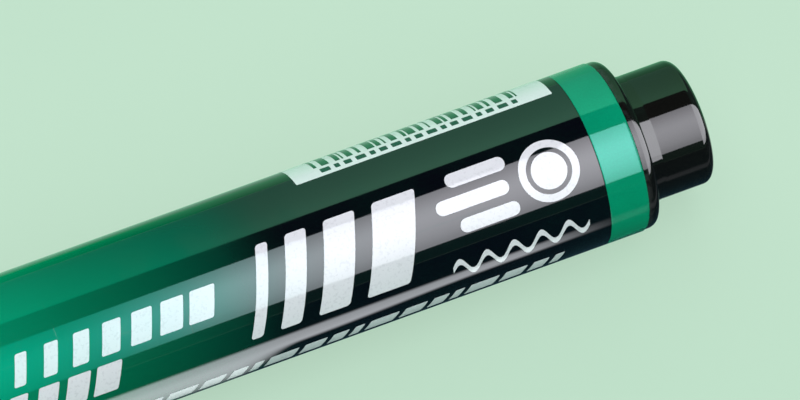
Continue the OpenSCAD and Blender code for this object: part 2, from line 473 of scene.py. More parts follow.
def cut_vents(body):
    """Cuts the air channels beside the nib right through the holder."""
    length = x_holder_tail - x_holder_end + 2 * vent_overrun
    middle = (x_holder_tail + x_holder_end) / 2
    cutter = begin_empty("vents")
    for number in range(vents):
        turn = 2 * math.pi * number / vents
        place = (middle, -nib_r * math.sin(turn), axis_z + nib_r * math.cos(turn))
        bpy.ops.mesh.primitive_cylinder_add(vertices=vent_sides, radius=vent_r, depth=length, location=place,
                                            rotation=(0, math.pi / 2, 0))
    bpy.ops.object.mode_set(mode="OBJECT")
    apply_modifier(body, "BOOLEAN", operation="DIFFERENCE", solver="EXACT", object=cutter)
    bpy.data.objects.remove(cutter)


def make_nib_tip():
    ball_x = x_nib_end + nib_ball
    drop = math.sqrt((nib_ogive - nib_ball) ** 2 - (nib_ogive - nib_r) ** 2)
    x_ogive = ball_x + drop
    lean = math.degrees(math.acos(drop / (nib_ogive - nib_ball)))
    ball = arc((ball_x, 0), nib_ball, 180, 180 - lean, nib_ball_faces)
    side = arc((x_ogive, nib_r - nib_ogive), nib_ogive, 180 - lean, 90, nib_ogive_faces)
    return turned_piece("nib_tip", [
        *ball,
        *side[1:],
        (x_nib_tail, nib_r, step_round),
        (x_nib_tail, 0),
    ], closed=False)


# Pieces of the cap

def make_cap_body():
    ramp_places = [flute_ramp * share for share in flute_ramp_shares]
    flute_rings = [x_flutes + ramp for ramp in ramp_places]
    flute_rings += [x_lip - ramp for ramp in reversed(ramp_places)]
    bore = barrel_r - cap_wall
    body = turned_piece("cap_body", [
        (x_cap_end + dish_depth, 0),
        (x_cap_end + dish_depth, dish_r - dish_depth, dish_round),
        (x_cap_end, dish_r, dish_round),
        (x_cap_end, cap_end_r, cap_round),
        (x_taper, barrel_r),
        (x_flutes - support_w, barrel_r),
        *((x, barrel_r) for x in flute_rings),
        (x_lip + support_w, barrel_r),
        (x_mouth, barrel_r, lip_round),
        (x_mouth, bore, mouth_round),
        (x_mouth - cap_rib_start, bore),
        (x_seal, bore),
        (x_taper, bore),
        (x_cap_floor, cap_end_r - cap_wall),
        (x_cap_floor, 0),
    ], closed=False)
    press_flutes(body, flute_rings)
    walls = (cap_end_r - cap_wall, bore)
    raise_ribs(body, cap_ribs, x_seal, x_mouth - cap_rib_start, walls, cap_grip_r)
    raise_ribs(body, cap_ribs, x_cap_floor, x_seal, walls, cup_r + fit_gap)
    return body


def press_flutes(body, rings):
    """Presses the grip flutes into the cap, shallow at both ends.

    Each flute is four lines of vertices: an outer pair and an inner pair, at steps from its middle."""
    pairs = [((1, 4), 1.5), ((2, 3), 0.5)]
    spacing = turn_steps // flutes
    step_w = 2 * math.pi * barrel_r / turn_steps
    bpy.ops.object.mode_set(mode="EDIT")
    for ring in rings[1:-1]:
        ramp = min(1, (ring - x_flutes) / flute_ramp, (x_lip - ring) / flute_ramp)
        for lines, offset in pairs:
            side = offset * step_w
            depth = math.sqrt(flute_cutter_r ** 2 - side ** 2) - flute_cutter_r + flute_depth
            depth *= math.sin(ramp * math.pi / 2)

            def on_line(vertex):
                on_ring = abs(vertex.co.x - ring) < weld_gap and radius_of(vertex.co) > barrel_r - weld_gap
                return on_ring and round(steps_round(vertex.co)) % spacing in lines

            select_vertices(body, on_line)
            scale_about_axis(1 - depth / barrel_r)
    end_piece(body)


def make_inner_cup():
    bore = cup_r - cup_wall
    floor = x_cup_floor + cup_end_t
    return turned_piece("inner_cup", [
        (x_cup_floor, 0),
        (x_cup_floor, cup_r, cup_round),
        (x_seal, cup_r, cup_round / 2),
        (x_seal, bore, cup_round),
        (floor, bore, cup_round),
        (floor, 0),
    ], closed=False)


# Print on the label: x in millimetres from the rear edge of the ring, angles in degrees around the barrel

facing = math.radians(57.06)
print_t = 0.03 * MM
print_slant = math.tan(math.radians(19))
wrap_step = math.radians(2.5)

bars_x = -26.3
bar_widths = (4.7, 3.4, 2.3, 1.3)
bar_gaps = (1.9,) * 4
bar_angles = (-41, 19)
bar_round = 0.35 * MM

dot_x = -9.4
dot_r = 1.9 * MM
dot_ring_r = (2.4 * MM, 3.2 * MM)
dot_points = 48
strokes = ((-19.9, -13.4), (-21.8, -13.85), (-19.9, -13.4))
stroke_w = 1.5 * MM
stroke_pitch = 2.4 * MM
stroke_round = 0.7 * MM

wave_front = -21.6
wave_angle = -44
wave_len = 15 * MM
wave_w = 0.75 * MM
wave_height = 0.85 * MM
waves = 5
wave_points = 60

stripe_rows = ((-46.9, (-15.5, 5), 9), (-58.2, (-41, -21), 7))
stripe_w = 2.7
stripe_gap = 0.7
stripe_thinning = 0.24
stripe_round = 0.2 * MM

dash_rows = ((-10, (-78, -66), 26), (-9, (122, 126), 24), (-9, (132, 136), 26, 1),
             (-9, (142, 146), 22, 2), (-9, (152, 156), 17, 3))
dash_gap = 0.7
fine_round = 0.1 * MM

panel_ends = (-33.6, -5.5)
panel_angles = (53, 104)
code_x = -8.6
code_angles = (65, 98)
code_count = 24
code_dashes_x = -9.0
code_dashes_angles = (56.5, 61.5)
code_dash_count = 17
code_dash_gap = 0.5
code_dash_round = 0.08 * MM

seam_inset = 0.05
seam_angles = (176, 196)


def spot(x_mm, angle):
    """Place on the flat sheet: X along the marker, Z along the arc from the side of the marker."""
    return x_rim + x_mm * MM, barrel_r * (facing + math.radians(angle))


def flat_patch(points, rounding=0):
    """Adds one filled outline to the sheet in hand."""
    bpy.ops.mesh.select_all(action="DESELECT")
    bpy.ops.mesh.primitive_plane_add(size=MM)
    draw_line(points)
    bpy.ops.mesh.select_linked()
    bpy.ops.mesh.edge_face_add()
    if rounding:
        bpy.ops.mesh.bevel(offset=rounding, offset_type="OFFSET", segments=4, affect="VERTICES")


def flat_block(x0, x1, angles, slant=0.0, rounding=0):
    """A block from x0 to x1 and from one angle to the other, leaning towards the rear."""
    left, low = spot(x0, angles[0])
    right, high = spot(x1, angles[1])
    shift = slant * (high - low)
    flat_patch([(left, low), (right, low), (right + shift, high), (left + shift, high)], rounding)


def draw_row(right, widths, gaps, angles, slant=0.0, rounding=0):
    """A row of blocks from a place towards the front, each with a gap after it."""
    for width, gap in zip(widths, gaps):
        flat_block(right - width, right, angles, slant, rounding)
        right -= width + gap


def jumbled(count, smallest, step, sizes, stride, first=0):
    """Sizes that differ from one block to the next, in a fixed order without a meaning."""
    return [smallest + step * (number * stride % sizes) for number in range(first, first + count)]


def make_print(name, draw, radius=barrel_r):
    """Draws print on a flat sheet, cuts it into strips, bends it around the barrel and thickens it."""
    piece = begin_empty(name)
    draw()
    heights = [vertex.co.z for vertex in bmesh.from_edit_mesh(piece.data).verts]
    low = min(heights)
    span = max(heights) - low
    cuts = int(span / (barrel_r * wrap_step))
    for number in range(1, cuts):
        bpy.ops.mesh.select_all(action="SELECT")
        bpy.ops.mesh.bisect(plane_co=(0, 0, low + span * number / cuts), plane_no=(0, 0, 1))
    weld()
    mesh = bmesh.from_edit_mesh(piece.data)
    mesh.faces.ensure_lookup_table()
    if mesh.faces[0].normal.y > 0:
        bpy.ops.mesh.flip_normals()
    bpy.ops.object.mode_set(mode="OBJECT")
    apply_modifier(piece, "SIMPLE_DEFORM", deform_method="BEND", deform_axis="X", angle=span / barrel_r)
    apply_modifier(piece, "SOLIDIFY", thickness=print_t, offset=0)
    bpy.ops.object.mode_set(mode="EDIT")
    bpy.ops.mesh.select_all(action="SELECT")
    bpy.ops.transform.translate(value=(0, -barrel_r, axis_z))
    scale_about_axis(radius / barrel_r)
    end_piece(piece)
    return piece


def draw_dot_and_strokes():
    """A large dot inside a ring, with three even strokes on the side towards the front."""
    centre_x, middle = spot(dot_x, 0)
    turns = [2 * math.pi * number / dot_points for number in range(dot_points)]
    flat_patch([(centre_x + dot_r * math.cos(a), middle + dot_r * math.sin(a)) for a in turns])
    inner, outer = dot_ring_r
    for start, stop in zip(turns, [*turns[1:], 2 * math.pi]):
        corners = ((inner, start), (outer, start), (outer, stop), (inner, stop))
        flat_patch([(centre_x + r * math.cos(a), middle + r * math.sin(a)) for r, a in corners])
    for row, (front, rear) in enumerate(strokes, start=-1):
        left, right = (spot(end, 0)[0] for end in (front, rear))
        low = middle + row * stroke_pitch - stroke_w / 2
        high = low + stroke_w
        flat_patch([(left, low), (right, low), (right, high), (left, high)], stroke_round)


def draw_wave():
    """A wavy stroke of even width."""
    start, middle = spot(wave_front, wave_angle)
    shares = [number / wave_points for number in range(wave_points + 1)]
    rises = [wave_height * math.sin(2 * math.pi * waves * share) for share in shares]
    line = [(start + wave_len * share, middle + rise) for share, rise in zip(shares, rises)]
    lower, upper = ([(x, z + side * wave_w / 2) for x, z in line] for side in (-1, 1))
    flat_patch(lower + upper[::-1])


def draw_dashes(right, angles, count, first=0):
    """Short and long dashes in a fine row."""
    widths = jumbled(count, smallest=1.0, step=0.7, sizes=4, stride=5, first=first)
    draw_row(right, widths, [dash_gap] * count, angles, print_slant, fine_round)


def draw_silver_print():
    """Stroke-width bars, a tip symbol, a wavy sample stroke, thinning stripes and rows of plain dashes."""
    draw_row(bars_x, bar_widths, bar_gaps, bar_angles, print_slant, bar_round)
    draw_dot_and_strokes()
    draw_wave()
    for right, angles, count in stripe_rows:
        thinned = [stripe_thinning * number for number in range(count)]
        widths = [stripe_w - loss for loss in thinned]
        gaps = [stripe_gap + loss for loss in thinned]
        draw_row(right, widths, gaps, angles, print_slant, stripe_round)
    for row in dash_rows:
        draw_dashes(*row)


def draw_code_panel():
    flat_block(*panel_ends, panel_angles, 0, fine_round)


def draw_code_bars():
    """Meaningless bars and dashes on the pale panel."""
    widths = jumbled(code_count, smallest=0.18, step=0.16, sizes=5, stride=7)
    gaps = jumbled(code_count, smallest=0.2, step=0.17, sizes=4, stride=3)
    draw_row(code_x, widths, gaps, code_angles)
    widths = jumbled(code_dash_count, smallest=0.55, step=0.25, sizes=3, stride=5)
    gaps = [code_dash_gap] * code_dash_count
    draw_row(code_dashes_x, widths, gaps, code_dashes_angles, 0, code_dash_round)


def draw_label_seam():
    """The lapped edge of the label along the side that is turned away."""
    left = (x_label - x_rim) / MM + seam_inset
    right = (x_ring - x_rim) / MM - seam_inset
    flat_block(left, right, seam_angles)


label_sleeve = make_hoop("label_sleeve", x_label, x_ring, barrel_r - film_t, film_round, film_round)
ring_band = make_hoop("ring_band", x_ring, x_rim, ring_bore_r, ring_front_round, ring_rear_round)
barrel_tube = make_barrel_tube()
plug_body = make_plug_body()
holder_body = make_holder_body()
nib_tip = make_nib_tip()
cap_body = make_cap_body()
inner_cup = make_inner_cup()
silver_print = make_print("silver_print", draw_silver_print)
code_panel = make_print("code_panel", draw_code_panel)
code_bars = make_print("code_bars", draw_code_bars, barrel_r + print_t / 2)
label_seam = make_print("label_seam", draw_label_seam)


# Helpers for nodes

def feed(tree, value, socket):
    """Sets a socket to a number or a colour, or links another node's socket to it."""
    if isinstance(value, bpy.types.NodeSocket):
        tree.links.new(value, socket)
    elif isinstance(value, tuple):
        socket.default_value = (*value, 1)
    else:
        socket.default_value = value


def fresh_nodes(owner, output_kind="ShaderNodeOutputMaterial"):
    """Empties the nodes of a material or a world, and returns its tree and the socket of its surface."""
    owner.use_nodes = True
    tree = owner.node_tree
    tree.nodes.clear()
    return tree, tree.nodes.new(output_kind).inputs["Surface"]


def place_in(tree, coordinates="Object"):
    return tree.nodes.new("ShaderNodeTexCoord").outputs[coordinates]


def split_axes(tree, vector):
    """The X, Y and Z of a vector."""
    split = tree.nodes.new("ShaderNodeSeparateXYZ")
    feed(tree, vector, split.inputs["Vector"])
    return tuple(split.outputs)


def add_math(tree, operation, *values):
    """A Math node on values, each a socket or a number."""
    node = tree.nodes.new("ShaderNodeMath")
    node.operation = operation
    for value, socket in zip(values, node.inputs):
        feed(tree, value, socket)
    return node.outputs["Value"]


def add_range(tree, value, low, high, to_low=0.0, to_high=1.0, kind="SMOOTHSTEP"):
    """Maps a value from one range to another, each end a number or a socket."""
    node = tree.nodes.new("ShaderNodeMapRange")
    node.interpolation_type = kind
    feed(tree, value, node.inputs["Value"])
    ends = {"From Min": low, "From Max": high, "To Min": to_low, "To Max": to_high}
    for label, end in ends.items():
        feed(tree, end, node.inputs[label])
    return node.outputs["Result"]


def add_ramp(tree, value, stops):
    """Smooth run of colours over a value from 0 to 1: (place, colour) stops in order."""
    node = tree.nodes.new("ShaderNodeValToRGB")
    ramp = node.color_ramp
    ramp.interpolation = "B_SPLINE"
    while len(ramp.elements) < len(stops):
        ramp.elements.new(0.5)
    for element, (place, colour) in zip(ramp.elements, stops):
        element.position = place
        element.color = (*colour, 1)
    feed(tree, value, node.inputs["Fac"])
    return node.outputs["Color"]


def add_noise(tree, scale, detail=2.0, stretch=None):
    """Noise on Object coordinates, stretched along the axes if asked. The scale is a number or a socket."""
    place = place_in(tree)
    if stretch:
        mapping = tree.nodes.new("ShaderNodeMapping")
        mapping.inputs["Scale"].default_value = stretch
        feed(tree, place, mapping.inputs["Vector"])
        place = mapping.outputs["Vector"]
    noise = tree.nodes.new("ShaderNodeTexNoise")
    noise.inputs["Detail"].default_value = detail
    feed(tree, place, noise.inputs["Vector"])
    feed(tree, scale, noise.inputs["Scale"])
    return noise.outputs["Fac"]


def mix_colours(tree, factor, first, second):
    """Mixes two colours, each a colour or a socket, by a socket."""
    mix = tree.nodes.new("ShaderNodeMix")
    mix.data_type = "RGBA"
    feed(tree, factor, mix.inputs["Factor"])
    feed(tree, first, mix.inputs[6])
    feed(tree, second, mix.inputs[7])
    return mix.outputs[2]


def add_bump(tree, shader, height, distance, under=None):
    """Bumps a shader's surface, on top of another bump if one is given."""
    bump = tree.nodes.new("ShaderNodeBump")
    bump.inputs["Distance"].default_value = distance
    feed(tree, height, bump.inputs["Height"])
    if under:
        feed(tree, under, bump.inputs["Normal"])
    feed(tree, bump.outputs["Normal"], shader.inputs["Normal"])
    return bump.outputs["Normal"]


# Effects that several materials share

along_stretch = (60, 2600, 2600)
around_stretch = (2600, 90, 90)
scratch_roughness = 0.08
scratch_depth = 0.001 * MM


def new_group(name, inputs, outputs):
    """An empty effect with number inputs, each with its usual value, and number outputs."""
    group = bpy.data.node_groups.new(name, "ShaderNodeTree")
    for label, value in inputs.items():
        socket = group.interface.new_socket(label, in_out="INPUT", socket_type="NodeSocketFloat")
        socket.default_value = value
    for label in outputs:
        group.interface.new_socket(label, in_out="OUTPUT", socket_type="NodeSocketFloat")
    entry = group.nodes.new("NodeGroupInput")
    leave = group.nodes.new("NodeGroupOutput")
    return group, entry.outputs, leave.inputs


def place_group(tree, group, **values):
    """Puts an effect into a material with its own values, and returns its outputs."""
    node = tree.nodes.new("ShaderNodeGroup")
    node.node_tree = group
    for label, value in values.items():
        node.inputs[label.replace("_", " ").title()].default_value = value
    return node.outputs


def make_handling_marks():
    """Smudges and hairline scratches from being handled."""
    usual = {"Clean Roughness": 0.05, "Smudged Roughness": 0.15, "Smudge Scale": 150.0}
    group, given, results = new_group("handling_marks", usual, ["Roughness", "Scratch Height"])
    smudge = add_range(group, add_noise(group, given["Smudge Scale"], 5.0), 0.5, 0.72)
    rough = add_range(group, smudge, 0.0, 1.0, given["Clean Roughness"], given["Smudged Roughness"])
    along = add_range(group, add_noise(group, 1.0, stretch=along_stretch), 0.69, 0.74)
    around = add_range(group, add_noise(group, 1.0, stretch=around_stretch), 0.73, 0.79)
    scratch = add_math(group, "MAXIMUM", along, around)
    scratched = add_math(group, "MULTIPLY_ADD", scratch, scratch_roughness, rough)
    feed(group, scratched, results["Roughness"])
    feed(group, add_math(group, "SUBTRACT", 1.0, scratch), results["Scratch Height"])
    return group


def make_moulded_skin():
    """Slow waves and fine grain of a moulded surface."""
    usual = {"Wave Scale": 180.0, "Grain Scale": 5000.0, "Grain Share": 0.05}
    group, given, results = new_group("moulded_skin", usual, ["Height", "Tone"])
    wave = add_noise(group, given["Wave Scale"], 1.0)
    grain = add_noise(group, given["Grain Scale"])
    fine = add_math(group, "MULTIPLY", grain, given["Grain Share"])
    feed(group, add_math(group, "ADD", wave, fine), results["Height"])
    halves = [add_math(group, "MULTIPLY", part, 0.5) for part in (wave, grain)]
    feed(group, add_math(group, "ADD", *halves), results["Tone"])
    return group


def make_edge_wear():
    """Mask of the raised edges, broken up by noise."""
    group, given, results = new_group("edge_wear", {"Reach": 0.06}, ["Mask"])
    geometry = group.nodes.new("ShaderNodeNewGeometry")
    raised = add_math(group, "SUBTRACT", geometry.outputs["Pointiness"], 0.5)
    edge = add_range(group, raised, 0.01, given["Reach"])
    broken = add_range(group, add_noise(group, 900.0, 4.0), 0.4, 0.65)
    feed(group, add_math(group, "MULTIPLY", edge, broken), results["Mask"])
    return group


handling_marks = make_handling_marks()
moulded_skin = make_moulded_skin()
edge_wear = make_edge_wear()


# Materials

tone_spread = 0.06
fibre_stretch = (350, 9000, 9000)
fibre_depth = 0.03 * MM
crease_stretch = (120, 900, 900)
film_wave = 0.004 * MM
film_grain = 0.02
materials = {}


def new_material(name):
    """Starts a material of one Principled shader and lists it by its name."""
    materials[name] = bpy.data.materials.new(name)
    tree, surface = fresh_nodes(materials[name])
    shader = tree.nodes.new("ShaderNodeBsdfPrincipled")
    feed(tree, shader.outputs["BSDF"], surface)
    return tree, shader


def paint(tree, shader, factor, first, second):
    """Gives a shader a colour between two others, by a socket."""
    feed(tree, mix_colours(tree, factor, first, second), shader.inputs["Base Color"])


def finish_surface(tree, shader, clean, smudged, wave, grain_share=0.05):
    """Adds handling marks and a moulded skin to a shader, and returns the skin's tone."""
    marks = place_group(tree, handling_marks, clean_roughness=clean, smudged_roughness=smudged)
    skin = place_group(tree, moulded_skin, grain_share=grain_share)
    feed(tree, marks["Roughness"], shader.inputs["Roughness"])
    waved = add_bump(tree, shader, skin["Height"], wave)
    add_bump(tree, shader, marks["Scratch Height"], scratch_depth, waved)
    return skin["Tone"]


def moulded_plastic(name, colour, worn_colour, clean, smudged, wave):
    """Coloured moulded plastic, a little paler where its edges have rubbed."""
    tree, shader = new_material(name)
    tone = add_range(tree, finish_surface(tree, shader, clean, smudged, wave), 0.35, 0.65)
    deep, pale = (tuple(c * level for c in colour) for level in (1 - tone_spread, 1 + tone_spread))
    wear = place_group(tree, edge_wear)["Mask"]
    paint(tree, shader, wear, mix_colours(tree, tone, deep, pale), worn_colour)
    return shader


def make_label_material():
    """Glossy printed film: black behind, running into green towards the front."""
    tree, shader = new_material("label_print")
    tone = finish_surface(tree, shader, 0.05, 0.09, film_wave, film_grain)
    along, _, _ = split_axes(tree, place_in(tree))
    run = add_range(tree, along, x_label, x_ring, kind="LINEAR")
    black = (0.001, 0.0012, 0.0037)
    print_colour = add_ramp(tree, run, [
        (0.0, (0.0, 0.255, 0.128)), (0.2, (0.0, 0.218, 0.109)), (0.3, (0.0, 0.135, 0.064)),
        (0.42, (0.0, 0.071, 0.037)), (0.5, (0.0, 0.034, 0.021)), (0.55, (0.001, 0.002, 0.004)),
        (0.6, black), (1.0, black)])
    spread = add_range(tree, tone, 0.3, 0.7, 0.0, tone_spread)
    paint(tree, shader, spread, print_colour, (0.0, 0.06, 0.03))


def make_print_material(name, colour, speck_colour):
    """Ink on the film, with the fine specks of a screen print."""
    tree, shader = new_material(name)
    finish_surface(tree, shader, 0.06, 0.12, film_wave, film_grain)
    specks = add_range(tree, add_noise(tree, 3200.0, 3.0), 0.52, 0.66)
    paint(tree, shader, specks, colour, speck_colour)


def make_fibre_material(name, colour, pale_colour, rough):
    """Bundled fibres that run along the marker, soaked with ink."""
    tree, shader = new_material(name)
    strands = add_noise(tree, 1.0, 4.0, fibre_stretch)
    paint(tree, shader, add_range(tree, strands, 0.35, 0.65), colour, pale_colour)
    shader.inputs["Roughness"].default_value = rough
    add_bump(tree, shader, strands, fibre_depth)


def make_core_film_material():
    """Thin film with long creases."""
    tree, shader = new_material("core_film")
    finish_surface(tree, shader, 0.2, 0.35, 0.01 * MM)
    creases = add_range(tree, add_noise(tree, 1.0, 3.0, crease_stretch), 0.4, 0.7)
    paint(tree, shader, creases, (0.70, 0.77, 0.73), (0.80, 0.84, 0.81))


def make_inner_cup_material():
    """Natural milky plastic that lets some light in."""
    tree, shader = new_material("inner_cap_natural")
    tone = add_range(tree, finish_surface(tree, shader, 0.35, 0.45, 0.006 * MM, 0.1), 0.35, 0.65)
    paint(tree, shader, tone, (0.74, 0.76, 0.72), (0.80, 0.82, 0.79))
    shader.inputs["Subsurface Weight"].default_value = 0.15
    shader.inputs["Subsurface Scale"].default_value = 0.8 * MM


make_label_material()
make_print_material("silver_ink", (0.74, 0.73, 0.78), (0.67, 0.66, 0.71))
make_print_material("panel_ink", (0.76, 0.86, 0.83), (0.73, 0.83, 0.80))
make_print_material("bar_ink", (0.006, 0.070, 0.040), (0.010, 0.090, 0.050))
ring_shader = moulded_plastic(
    "ring_green", (0.001, 0.262, 0.134), (0.01, 0.32, 0.18), clean=0.05, smudged=0.09, wave=0.005 * MM)
ring_shader.inputs["Specular IOR Level"].default_value = 0.6
ring_shader.inputs["Specular Tint"].default_value = (0.38, 1.0, 0.94, 1)
plug_shader = moulded_plastic(
    "plug_black", (0.0045, 0.0045, 0.0040), (0.03, 0.03, 0.03), clean=0.05, smudged=0.12, wave=0.004 * MM)
plug_shader.inputs["Specular IOR Level"].default_value = 0.36
moulded_plastic(
    "barrel_black", (0.005, 0.005, 0.005), (0.03, 0.03, 0.03), clean=0.08, smudged=0.16, wave=0.005 * MM)
moulded_plastic(
    "holder_black", (0.008, 0.008, 0.008), (0.035, 0.035, 0.035), clean=0.22, smudged=0.32, wave=0.005 * MM)
moulded_plastic(
    "cap_green", (0.002, 0.220, 0.108), (0.02, 0.28, 0.15), clean=0.08, smudged=0.15, wave=0.006 * MM)
make_fibre_material("nib_fibre", (0.004, 0.045, 0.028), (0.012, 0.085, 0.055), rough=0.75)
make_fibre_material("core_fibre", (0.004, 0.110, 0.062), (0.010, 0.160, 0.095), rough=0.85)
make_core_film_material()
make_inner_cup_material()


# What each piece is made of, stands for and rides on

def dress(piece, name):
    piece.data.materials.clear()
    piece.data.materials.append(materials[name])


shells = [
    (label_sleeve, "label_film", "label_print", "marker"),
    (ring_band, "colour_ring", "ring_green", "marker"),
    (barrel_tube, "barrel", "barrel_black", "marker"),
    (plug_body, "end_plug", "plug_black", "marker"),
    (holder_body, "nib_holder", "holder_black", "marker"),
    (nib_tip, "nib", "nib_fibre", "marker"),
    (cap_body, "cap_shell", "cap_green", "cap"),
    (inner_cup, "inner_cap", "inner_cap_natural", "cap"),
]
for piece, node, slot, body in shells:
    dress(piece, slot)
    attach(piece, body)
    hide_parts(node)

prints = [
    (silver_print, "silver_ink"),
    (code_panel, "panel_ink"),
    (code_bars, "bar_ink"),
    (label_seam, "label_print"),
]
for piece, ink in prints:
    dress(piece, ink)
    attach(piece, "marker")

dress(frame["nodes"]["ink_reservoir"], "core_fibre")
dress(frame["nodes"]["reservoir_sleeve"], "core_film")


# Camera at the photograph's angle, framed on the rear half of the marker

view_azimuth = math.radians(-23.8)
view_elevation = math.radians(54.7)
view_distance = 1.6
view_width = 80.67 * MM
sensor_w = 36.0
view_x = x_rim - 22.77 * MM
view_shift_right = -0.774 * MM
view_shift_up = 2.149 * MM


def make_camera():
    turn = Euler((math.pi / 2 - view_elevation, 0, view_azimuth))
    right, up, back = turn.to_matrix().transposed()
    target = Vector((view_x, 0, axis_z)) + right * view_shift_right + up * view_shift_up
    data = bpy.data.cameras.new("camera")
    data.sensor_width = sensor_w
    data.lens = sensor_w * view_distance / view_width
    data.clip_start = 0.05
    data.clip_end = 20
    camera = bpy.data.objects.new("camera", data)
    camera.location = target + back * view_distance
    camera.rotation_euler = turn
    bpy.context.scene.collection.objects.link(camera)
    bpy.context.scene.camera = camera
    return camera


camera = make_camera()


# Lights

white = (1.0, 0.98, 1.0)
grey = (0.88, 0.87, 0.89)
mint = (0.36, 1.0, 0.62)
green = (0.0, 1.0, 0.53)
fern = (0.30, 0.86, 0.42)
cool_light = (1.0, 1.0, 1.06)
room_light = (1.03, 0.98, 1.03)
room_spread = 31
card_front = -0.3
card_rear = 2.0
card_square = 48
card_top = 82
x_side = x_rear + 3 * MM
side_blur = 40 * MM
side_share = 0.3


def make_panel(name, square_to, distance, low, high, front, rear, radiance, seen_by, colour=(1, 1, 1)):
    """A flat lamp beside the marker, square to one elevation and reaching from another to a third.

    Elevations are in degrees about the axis, and front and rear are measured from the middle of the view.
    seen_by says whether it lights surfaces ("diffuse") or only shows as a reflection ("glossy")."""
    slope = math.radians(square_to)
    towards = Vector((0, -math.cos(slope), math.sin(slope)))
    upright = Vector((0, math.sin(slope), math.cos(slope)))
    bottom, top = (distance * math.tan(math.radians(angle - square_to)) for angle in (low, high))
    data = bpy.data.lights.new(name, "AREA")
    data.shape = "RECTANGLE"
    data.size = rear - front
    data.size_y = top - bottom
    data.energy = math.pi * data.size * data.size_y * radiance
    data.color = colour
    lamp = bpy.data.objects.new(name, data)
    lamp.rotation_euler.x = math.pi / 2 - slope
    middle = Vector((view_x + (front + rear) / 2, 0, axis_z))
    lamp.location = middle + towards * distance + upright * (bottom + top) / 2
    lamp.visible_camera = False
    lamp.visible_diffuse = seen_by == "diffuse"
    lamp.visible_glossy = seen_by == "glossy"
    bpy.context.scene.collection.objects.link(lamp)
    return lamp


def open_nodes(lamp):
    """A lamp's node tree and emission, the place on the barrel that mirrors each spot of it, and its height.

    The place is the X at which the photograph's view shows the spot, and the height runs from 0 to 1."""
    lamp.data.use_nodes = True
    tree = lamp.data.node_tree
    emission = next(node for node in tree.nodes if node.type == "EMISSION")
    geometry = tree.nodes.new("ShaderNodeNewGeometry")
    x, y, z = split_axes(tree, geometry.outputs["Position"])
    above = add_math(tree, "SUBTRACT", z, axis_z)
    squares = [add_math(tree, "MULTIPLY", offset, offset) for offset in (y, above)]
    reach = add_math(tree, "POWER", add_math(tree, "ADD", *squares), 0.5)
    eye = camera.location
    eye_reach = math.hypot(eye.y, eye.z - axis_z)
    weighted = add_math(tree, "ADD", add_math(tree, "MULTIPLY", x, eye_reach),
                        add_math(tree, "MULTIPLY", reach, eye.x))
    seen_x = add_math(tree, "DIVIDE", weighted, add_math(tree, "ADD", reach, eye_reach))
    _, height, _ = split_axes(tree, geometry.outputs["Parametric"])
    return tree, emission, seen_x, height


def colour_by_place(tree, seen_x, stops):
    """Colours along the barrel: (millimetres from the rim, colour) stops in order."""
    first, last = stops[0][0], stops[-1][0]
    run = add_range(tree, seen_x, x_rim + first * MM, x_rim + last * MM, kind="LINEAR")
    return add_ramp(tree, run, [((x - first) / (last - first), colour) for x, colour in stops])


def level_by_height(tree, height, stops):
    """Levels up a lamp: (share of its height, level) stops in order."""
    return add_ramp(tree, height, [(share, (level,) * 3) for share, level in stops])


def make_key_card():
    """The broad reflection along the barrel: white behind, turning teal towards the front."""
    card = make_panel("key_card", square_to=card_square, distance=0.5, low=15, high=card_top,
                      front=card_front, rear=card_rear, radiance=9.5, seen_by="glossy", colour=cool_light)
    tree, emission, seen_x, height = open_nodes(card)
    colours = [(-69, (0.0, 0.38, 0.25)), (-61, (0.0, 0.44, 0.32)), (-53, (0.10, 0.62, 0.56)),
               (-46, (0.46, 0.84, 0.80)), (-37, (0.80, 0.84, 0.85)), (-26, grey), (-10, grey), (-3, white)]
    feed(tree, colour_by_place(tree, seen_x, colours), emission.inputs["Color"])
    level = level_by_height(tree, height, [(0.0, 0.5), (0.2, 0.72), (0.5, 1.0), (0.7, 0.95), (1.0, 0.52)])
    shown = add_range(tree, seen_x, x_side, x_side + side_blur, 1.0, side_share)
    feed(tree, add_math(tree, "MULTIPLY", level, shown), emission.inputs["Strength"])


def make_side_card():
    """Carries the same reflection on, brighter and lower, for the end plug's faces that lean to the rear."""
    card = make_panel("side_card", square_to=card_square, distance=0.52, low=6, high=card_top,
                      front=card_front, rear=card_rear, radiance=8.3, seen_by="glossy", colour=cool_light)
    lit_pieces = bpy.data.collections.new("lit_by_side_card")
    lit_pieces.objects.link(plug_body)
    card.light_linking.receiver_collection = lit_pieces
    tree, emission, seen_x, _ = open_nodes(card)
    feed(tree, add_range(tree, seen_x, x_side, x_side + side_blur), emission.inputs["Strength"])


def make_back_card():
    """The green reflection along the top of the barrel, brightest at its upper edge."""
    card = make_panel("back_card", square_to=146, distance=0.5, low=111, high=180,
                      front=card_front, rear=0.5, radiance=2.0, seen_by="glossy")
    tree, emission, seen_x, height = open_nodes(card)
    colours = [(-61, green), (-52, green), (-45, green), (-38, mint), (-24, mint), (0, mint), (9, fern)]
    feed(tree, colour_by_place(tree, seen_x, colours), emission.inputs["Color"])
    level = level_by_height(tree, height, [(0.0, 1.0), (0.3, 0.75), (0.7, 0.35), (1.0, 0.2)])
    feed(tree, level, emission.inputs["Strength"])


make_key_card()
make_side_card()
make_back_card()
for name, slope, radiance in (("soft_light", 60, 2.45), ("fill_light", 125, 1.15)):
    make_panel(name, square_to=slope, distance=1.0, low=slope - room_spread, high=slope + room_spread,
               front=-0.6, rear=0.6, radiance=radiance, seen_by="diffuse", colour=room_light)


# Surroundings, floor, and glowing floor cards that paint reflections

floor_w = 6.0
floor_card_w = 1.0
floor_card_gap = 4 * MM
floor_card_lift = 0.5 * MM


